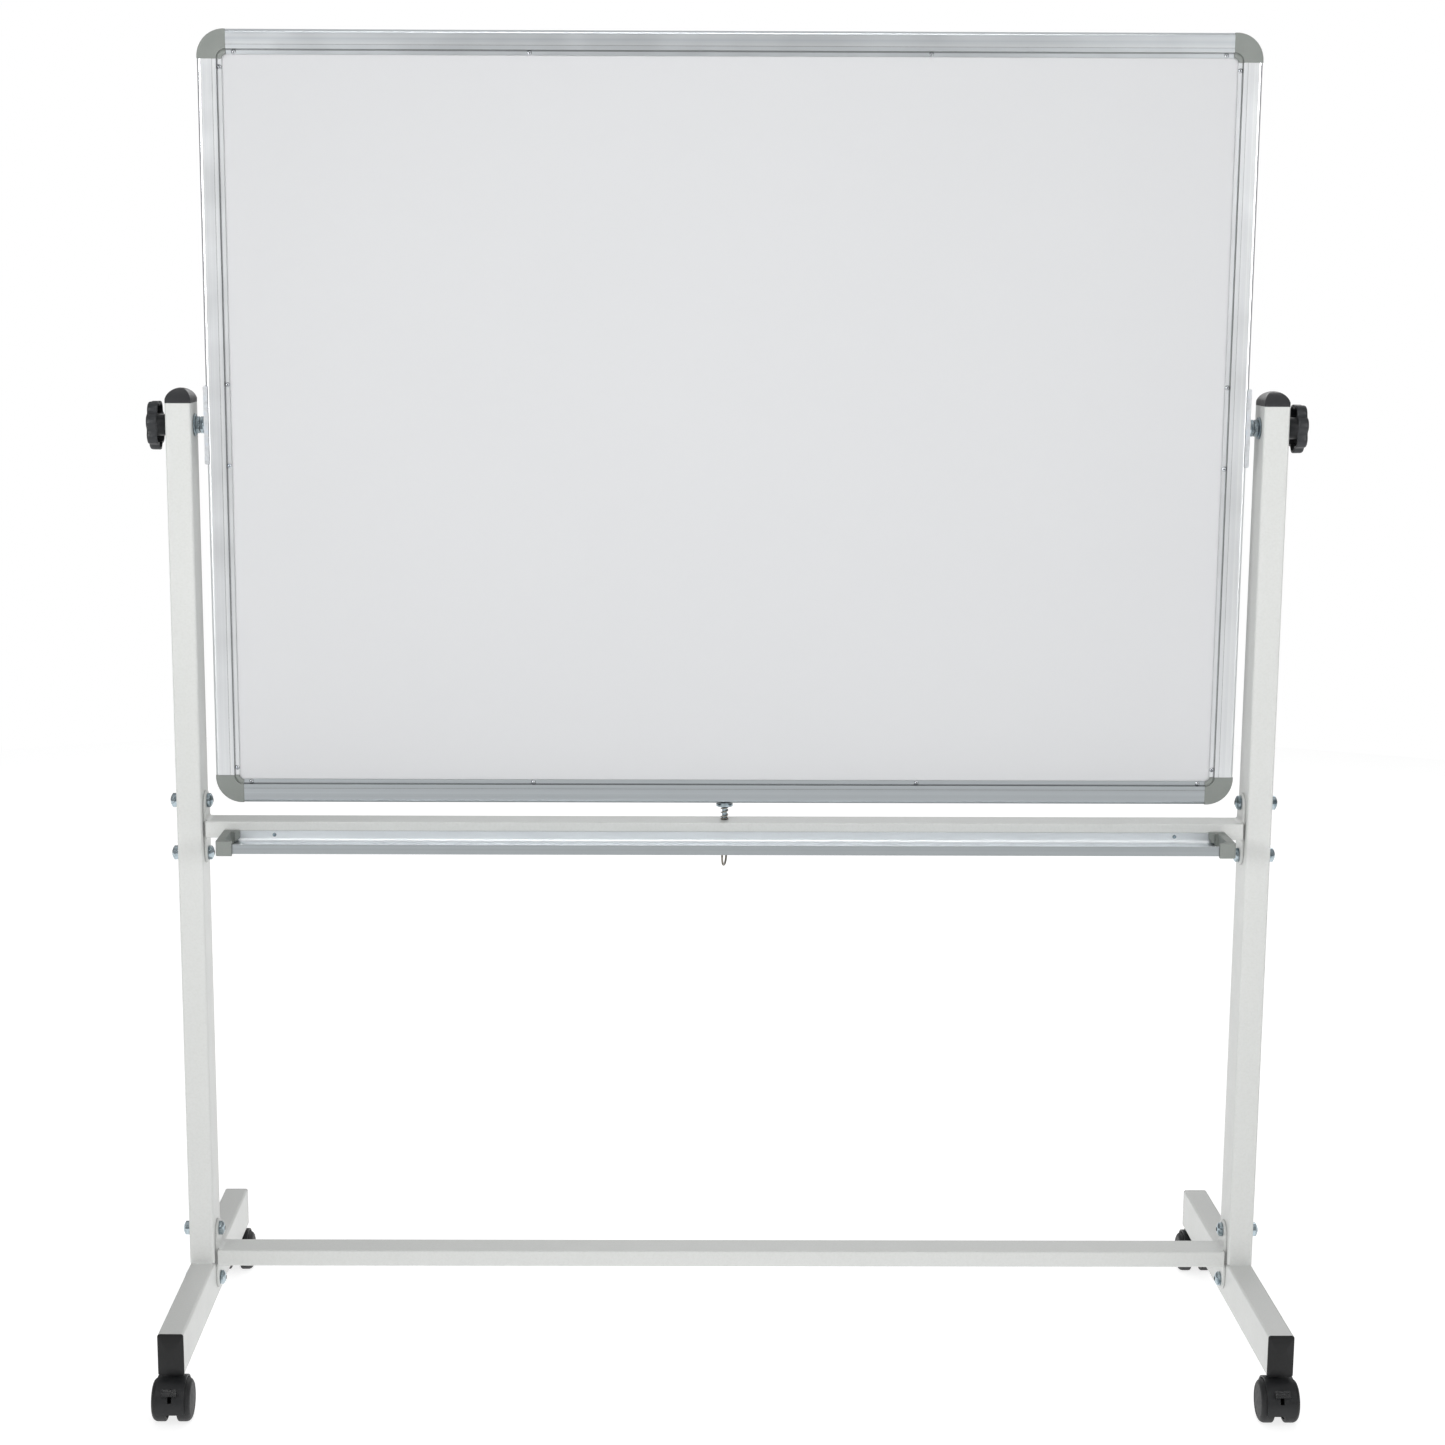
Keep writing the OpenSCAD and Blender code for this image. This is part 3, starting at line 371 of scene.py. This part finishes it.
def soften(obj, width_mm):
    """Rounds the hard edges of a carried-over node, so that they catch the light."""
    weld = obj.modifiers.new("weld", "WELD")
    weld.merge_threshold = WELD_DISTANCE
    # Without this, the bevel would draw lines along the sliver triangles of flat faces.
    flat = obj.modifiers.new("flat_faces", "DECIMATE")
    flat.decimate_type = "DISSOLVE"
    flat.angle_limit = math.radians(FLAT_DEG)
    bevel = obj.modifiers.new("soft_edge", "BEVEL")
    bevel.width = width_mm * MM
    bevel.segments = 2
    bevel.limit_method = "ANGLE"
    bevel.angle_limit = math.radians(HARD_EDGE_DEG)
    bevel.use_clamp_overlap = True
    bevel.miter_outer = "MITER_ARC"
    bevel.harden_normals = False
    normals = obj.modifiers.new("even_normals", "WEIGHTED_NORMAL")
    normals.keep_sharp = True
    normals.weight = EVEN_WEIGHT


for name, obj in nodes.items():
    if SLOT[name] in EDGE:
        soften(obj, EDGE[SLOT[name]])


# ---------------------------------------------------------------- detail pieces

MERGE_DISTANCE = 0.0000005  # metres


def make_object(name, mesh_bm, material, body, sharp_deg):
    """Turns a bmesh into an object that rides on a body, smooth but for edges sharper than sharp_deg."""
    bmesh.ops.remove_doubles(mesh_bm, verts=mesh_bm.verts, dist=MERGE_DISTANCE)
    bmesh.ops.recalc_face_normals(mesh_bm, faces=mesh_bm.faces)
    for face in mesh_bm.faces:
        face.smooth = True
    for edge in mesh_bm.edges:
        if len(edge.link_faces) == 2 and edge.calc_face_angle(0.0) > math.radians(sharp_deg):
            edge.smooth = False
    mesh = bpy.data.meshes.new(name)
    mesh_bm.to_mesh(mesh)
    mesh_bm.free()
    mesh.materials.append(MATERIALS[material])
    obj = bpy.data.objects.new(name, mesh)
    bpy.context.scene.collection.objects.link(obj)
    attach(obj, body)
    return obj


def skin_rings(bm, rings):
    """Joins rings of points, each ring closed, into one skin with closed ends."""
    rows = [[bm.verts.new(p) for p in ring] for ring in rings]
    for low, high in zip(rows, rows[1:]):
        count = len(low)
        for i in range(count):
            j = (i + 1) % count
            bm.faces.new((low[i], low[j], high[j], high[i]))
    bm.faces.new(rows[0][::-1])
    bm.faces.new(rows[-1])


# Knob sizes in mm
KNOB_LOBES = 7
KNOB_RADIUS = 29.0          # over the lobes
KNOB_PEAK = 28.9            # outline at a lobe
KNOB_VALLEY = 24.7          # outline between two lobes
KNOB_CUP = 9.3              # open edge of the cup, from the upright
KNOB_GAP = 0.6              # from the upright to the knob's hub in the CAD
KNOB_STEPS = 24             # points of the outline on each lobe
KNOB_TIP = 0.2              # smallest radius of a ring


def lobed_radius(angle, inset, roundness):
    """Radius of the knob's outline in mm; roundness 1 makes it a plain circle of its mean radius."""
    crest = 0.5 + 0.5 * math.cos(KNOB_LOBES * angle)
    lobed = KNOB_VALLEY + (KNOB_PEAK - KNOB_VALLEY) * (1.0 - (1.0 - crest) ** 1.8)
    return (1.0 - roundness) * lobed + roundness * 0.5 * (KNOB_PEAK + KNOB_VALLEY) - inset


def build_knob(name, node, body, sign):
    """A cup-shaped lobed knob: rim towards the upright, hub around the moulded-in insert."""
    low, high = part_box(node)
    face_x = low.x if sign > 0 else high.x
    start = face_x - sign * KNOB_GAP * MM
    axis_z = low.z + KNOB_RADIUS * MM
    # Distance from the upright, inset of the outline, how round the outline is there
    profile = [
        (14.0, 26.6, 1.0), (14.0, 17.0, 1.0), (1.1, 17.0, 1.0), (0.7, 16.7, 1.0), (0.7, 14.8, 1.0),
        (1.1, 14.4, 1.0), (KNOB_CUP + 7.1, 13.8, 1.0), (KNOB_CUP + 8.7, 12.8, 1.0),
    ] + [(KNOB_CUP + rise, inset, roundness) for rise, inset, roundness in (
        (9.4, 11.0, 0.9), (9.5, 7.4, 0.4), (9.2, 4.6, 0.0), (8.3, 3.3, 0.0), (6.9, 3.0, 0.0), (0.9, 2.5, 0.0),
        (0.3, 2.3, 0.0), (0.05, 1.8, 0.0), (0.0, 1.2, 0.0), (0.1, 0.5, 0.0), (0.6, 0.1, 0.0), (1.5, 0.0, 0.0),
        (9.1, 0.15, 0.0), (10.4, 0.4, 0.0), (11.4, 1.0, 0.0), (12.1, 1.9, 0.0), (12.43, 3.1, 0.0),
        (12.48, 4.6, 0.15), (12.4, 7.2, 0.8), (12.25, 8.4, 1.0), (11.8, 9.0, 1.0), (11.75, 9.8, 1.0),
        (12.2, 10.5, 1.0), (12.4, 14.4, 1.0), (12.48, 20.4, 1.0), (12.48, 25.6, 1.0),
    )]
    steps = KNOB_STEPS * KNOB_LOBES
    bm = bmesh.new()
    rings = []
    for rise, inset, roundness in profile:
        ring = []
        for i in range(steps):
            angle = math.tau * i / steps
            r = max(lobed_radius(angle, inset, roundness), KNOB_TIP) * MM
            ring.append((start + sign * rise * MM, r * math.sin(angle), axis_z - r * math.cos(angle)))
        rings.append(ring)
    skin_rings(bm, rings)
    knob = make_object(name, bm, "knob_plastic", body, 50.0)
    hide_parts(node)


SPRING_WIRE = 0.68 * MM     # radius of the wire
SPRING_TURNS = 4.9
SPRING_STEPS = 260
SPRING_SIDES = 12
SPRING_CLOSED = 0.75        # how much closer the coils lie at the two ends
SPRING_END = 0.55           # flattening of the ground ends


def build_spring():
    """Round-wire compression spring with closed ends, which the collar squeezes."""
    low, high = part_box("lock_spring")
    wire = SPRING_WIRE
    coil = high.x - wire
    rings = []
    for i in range(SPRING_STEPS + 1):
        t = i / SPRING_STEPS
        closed = t - SPRING_CLOSED * math.sin(math.tau * t) / math.tau
        z = low.z + wire + (high.z - low.z - 2 * wire) * closed
        angle = math.tau * SPRING_TURNS * t
        taper = min(1.0, SPRING_END + 12.0 * min(t, 1.0 - t))
        ring = []
        for j in range(SPRING_SIDES):
            a = math.tau * j / SPRING_SIDES
            r = coil + wire * math.cos(a)
            ring.append((r * math.cos(angle), r * math.sin(angle), z + taper * wire * math.sin(a)))
        rings.append(ring)
    bm = bmesh.new()
    skin_rings(bm, rings)
    spring = make_object("spring_wire", bm, "spring_steel", "stand", 60.0)
    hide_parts("lock_spring")
    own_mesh(spring)


random.seed(7)
BEAD_STEP = 0.0012          # distance between a bead's cross-sections
BEAD_COLUMNS = 7            # strips across a bead
BEAD_ROOT = 0.0001          # how far the bead's root reaches into the corner
BEAD_OVERLAP = 0.00005      # how far its edges reach into the two faces
BEAD_END = 8                # a bead tapers over the last 1/8 at each end
BEAD_END_SIZE = 0.35        # its relative size at the very end


def bead_taper(row, rows):
    """Relative size of a bead at a cross-section, less than 1 near its two ends."""
    from_end = min(row, rows - row)
    if from_end >= rows / BEAD_END:
        return 1.0
    return min(1.0, BEAD_END_SIZE + (1.0 - BEAD_END_SIZE) * math.sqrt(from_end / rows * BEAD_END))


def build_fillet(name, corner, along, out_a, out_b, length, radius, ripple=0.12):
    """Concave weld bead in the corner of two faces: it runs along one axis and tapers into both faces."""
    corner, along, out_a, out_b = (Vector(v) for v in (corner, along, out_a, out_b))
    rows = max(12, int(length / BEAD_STEP))
    bm = bmesh.new()
    rings = []
    phase = random.random() * math.tau
    for i in range(rows + 1):
        place = corner + along * (length * (i / rows - 0.5))
        wave = 1.0 + ripple * math.sin(i * 1.1 + phase) * 0.35 + ripple * (random.random() - 0.5)
        r = radius * wave * bead_taper(i, rows)
        ring = [place - out_a * BEAD_ROOT - out_b * BEAD_ROOT]
        for j in range(BEAD_COLUMNS + 1):
            angle = math.radians(90.0 * j / BEAD_COLUMNS)
            a = r * (1.0 - math.sin(angle))
            b = r * (1.0 - math.cos(angle))
            ring.append(place + out_a * (a - BEAD_OVERLAP) + out_b * (b - BEAD_OVERLAP))
        rings.append([tuple(p) for p in ring])
    skin_rings(bm, rings)
    make_object(name, bm, "powder_coat", "stand", 40.0)


BAR_BEAD = (0.030, 0.0065)      # length and leg of the beads between crossbar and end plate
FOOT_BEAD = (0.0245, 0.0028)    # length and leg of the beads between upright and foot
FOOT_RIPPLE = 0.25

for side, tag in ((-1, "left"), (1, "right")):
    for bar, level_name in (("crossbar_upper", "upper"), ("crossbar_lower", "lower")):
        low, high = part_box(bar)
        plate_x = high.x if side > 0 else low.x
        for z, up_down, place_name in ((high.z, 1, "top"), (low.z, -1, "under")):
            build_fillet(f"weld_{level_name}_{place_name}_{tag}", (plate_x, 0.0, z), (0, 1, 0), (-side, 0, 0),
                         (0, 0, up_down), *BAR_BEAD)
    low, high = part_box("upright_right" if side > 0 else "upright_left")
    for y, out_y, place_name in ((low.y, -1, "front"), (high.y, 1, "back")):
        build_fillet(f"weld_foot_{place_name}_{tag}", ((low.x + high.x) / 2, y, low.z), (1, 0, 0),
                     (0, out_y, 0), (0, 0, 1), *FOOT_BEAD, FOOT_RIPPLE)

build_knob("knob_cup_left", "knob_left", "left_knob", -1)
build_knob("knob_cup_right", "knob_right", "right_knob", 1)
build_spring()


# ---------------------------------------------------------------- floor, light, camera

FLOOR_RADIUS = 4.5          # metres
FLOOR_SIDES = 96
floor_mesh = bpy.data.meshes.new("floor")
corners = [math.tau * i / FLOOR_SIDES for i in range(FLOOR_SIDES)]
rim = [(FLOOR_RADIUS * math.cos(a), FLOOR_RADIUS * math.sin(a), 0.0) for a in corners]
floor_mesh.from_pydata(rim, [], [tuple(range(FLOOR_SIDES))])
floor = bpy.data.objects.new("floor", floor_mesh)
bpy.context.scene.collection.objects.link(floor)
floor.data.materials.append(floor_material())


def softbox(name, place, target, width, height, power, spread_deg=180.0):
    """Rectangular studio light turned to a target; power in watts, spread of its cone in degrees."""
    light = bpy.data.lights.new(name, "AREA")
    light.shape = "RECTANGLE"
    light.size = width
    light.size_y = height
    light.energy = power
    light.spread = math.radians(spread_deg)
    obj = bpy.data.objects.new(name, light)
    bpy.context.scene.collection.objects.link(obj)
    obj.location = place
    obj.rotation_euler = (Vector(target) - Vector(place)).to_track_quat("-Z", "Y").to_euler()


softbox("key_left", (-2.8, -3.3, 1.80), (0.0, 0.0, 1.38), 1.3, 1.3, 6.7, 52.0)
softbox("key_right", (2.8, -3.3, 1.80), (0.0, 0.0, 1.38), 1.3, 1.3, 4.7, 52.0)
softbox("high_front", (0.0, -2.9, 3.3), (0.0, 0.0, 0.2), 1.8, 0.7, 4.5, 70.0)
softbox("back", (0.6, 3.2, 2.6), (0.0, 0.0, 0.9), 3.0, 2.0, 30.0)
softbox("floor_wash", (0.0, 0.4, 4.6), (0.0, 0.4, 0.0), 5.0, 5.0, 20.0)

world = bpy.data.worlds.new("studio")
world.use_nodes = True
bpy.context.scene.world = world
sky = world.node_tree
background = sky.nodes["Background"]
WHITE_SCREEN = 1.0      # what the camera sees behind the object
AMBIENT = 0.33          # what lights the object from all round
ray = sky.nodes.new("ShaderNodeLightPath")
level = sky.nodes.new("ShaderNodeMapRange")
level.inputs["To Min"].default_value = AMBIENT
level.inputs["To Max"].default_value = WHITE_SCREEN
sky.links.new(ray.outputs["Is Camera Ray"], level.inputs["Value"])
background.inputs["Color"].default_value = (1.0, 1.0, 1.0, 1.0)
sky.links.new(level.outputs["Result"], background.inputs["Strength"])

bpy.context.scene.view_settings.view_transform = "Standard"

# The camera stands a little left of the middle, at the height of the board, and looks slightly down.
CAMERA_PLACE = Vector((-0.0878, -3.0746, 1.2988))
CAMERA_PITCH = 0.1788
CAMERA_YAW = 0.0056
CAMERA_ROLL = -0.0036
FOCAL = 65.35
SHIFT = (0.0393, 0.0188)
SENSOR = 36.0

forward = Vector((math.sin(CAMERA_YAW) * math.cos(CAMERA_PITCH),
                  math.cos(CAMERA_YAW) * math.cos(CAMERA_PITCH),
                  -math.sin(CAMERA_PITCH)))
level_right = Vector((math.cos(CAMERA_YAW), -math.sin(CAMERA_YAW), 0.0))
level_down = forward.cross(level_right)
right = math.cos(CAMERA_ROLL) * level_right + math.sin(CAMERA_ROLL) * level_down
up = math.sin(CAMERA_ROLL) * level_right - math.cos(CAMERA_ROLL) * level_down
camera_data = bpy.data.cameras.new("camera")
camera_data.sensor_width = SENSOR
camera_data.lens = FOCAL
camera_data.shift_x, camera_data.shift_y = SHIFT
camera_data.clip_end = 100.0
camera = bpy.data.objects.new("camera", camera_data)
bpy.context.scene.collection.objects.link(camera)
camera.matrix_world = Matrix((
    (right.x, up.x, -forward.x, CAMERA_PLACE.x),
    (right.y, up.y, -forward.y, CAMERA_PLACE.y),
    (right.z, up.z, -forward.z, CAMERA_PLACE.z),
    (0.0, 0.0, 0.0, 1.0),
))
bpy.context.scene.camera = camera
